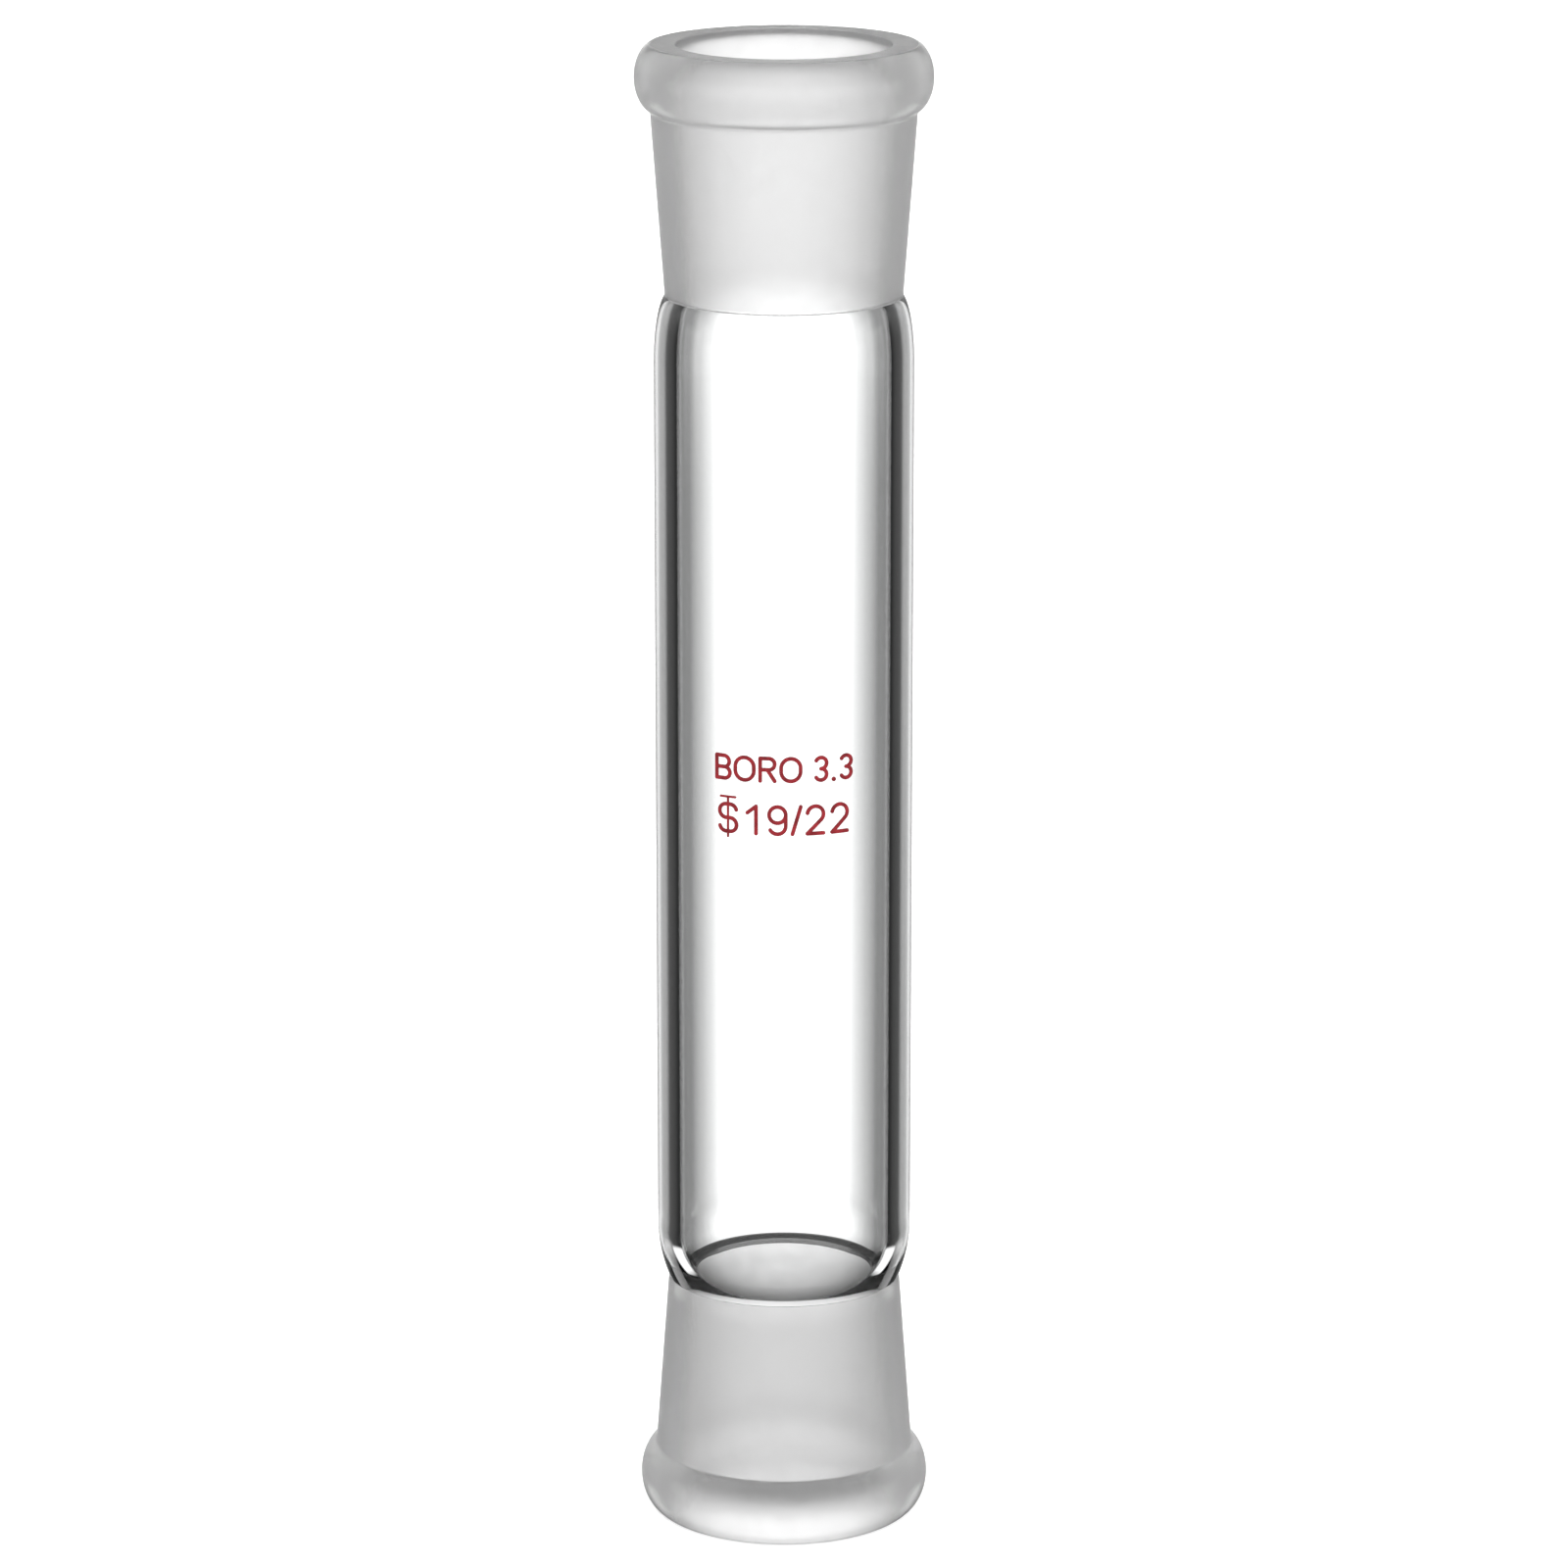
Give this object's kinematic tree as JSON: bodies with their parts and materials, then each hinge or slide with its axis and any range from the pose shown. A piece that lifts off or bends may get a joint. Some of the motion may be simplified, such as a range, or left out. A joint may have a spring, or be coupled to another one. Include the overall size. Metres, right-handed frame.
{
  "type": "straight connecting tube with ground sockets",
  "caption": "Straight glass tube with a ground 19/22 standard-taper socket at either end, used as an air condenser or to join ground cones in line.",
  "frame": {"origin": "centre of the lower socket's flat rim, on the plane that the tube stands on", "axes": "+Z along the tube's axis, from the lower socket to the upper one; the printed marking faces -Y and reads upright"},
  "size_m": [0.026, 0.026, 0.134],
  "materials": {
    "clear_glass": "clear, fire-polished borosilicate glass",
    "ground_glass": "borosilicate glass frosted all over: a fine ground inner taper and flat rim, and a smoother satin outside",
    "red_enamel": "deep red glass enamel, screen printed and fired on"
  },
  "bodies": {
    "root": {"upper_socket_joint": "ground_glass", "body_tube": "clear_glass", "lower_socket_joint": "ground_glass", "size_marking": "red_enamel"}
  },
  "joints": []
}
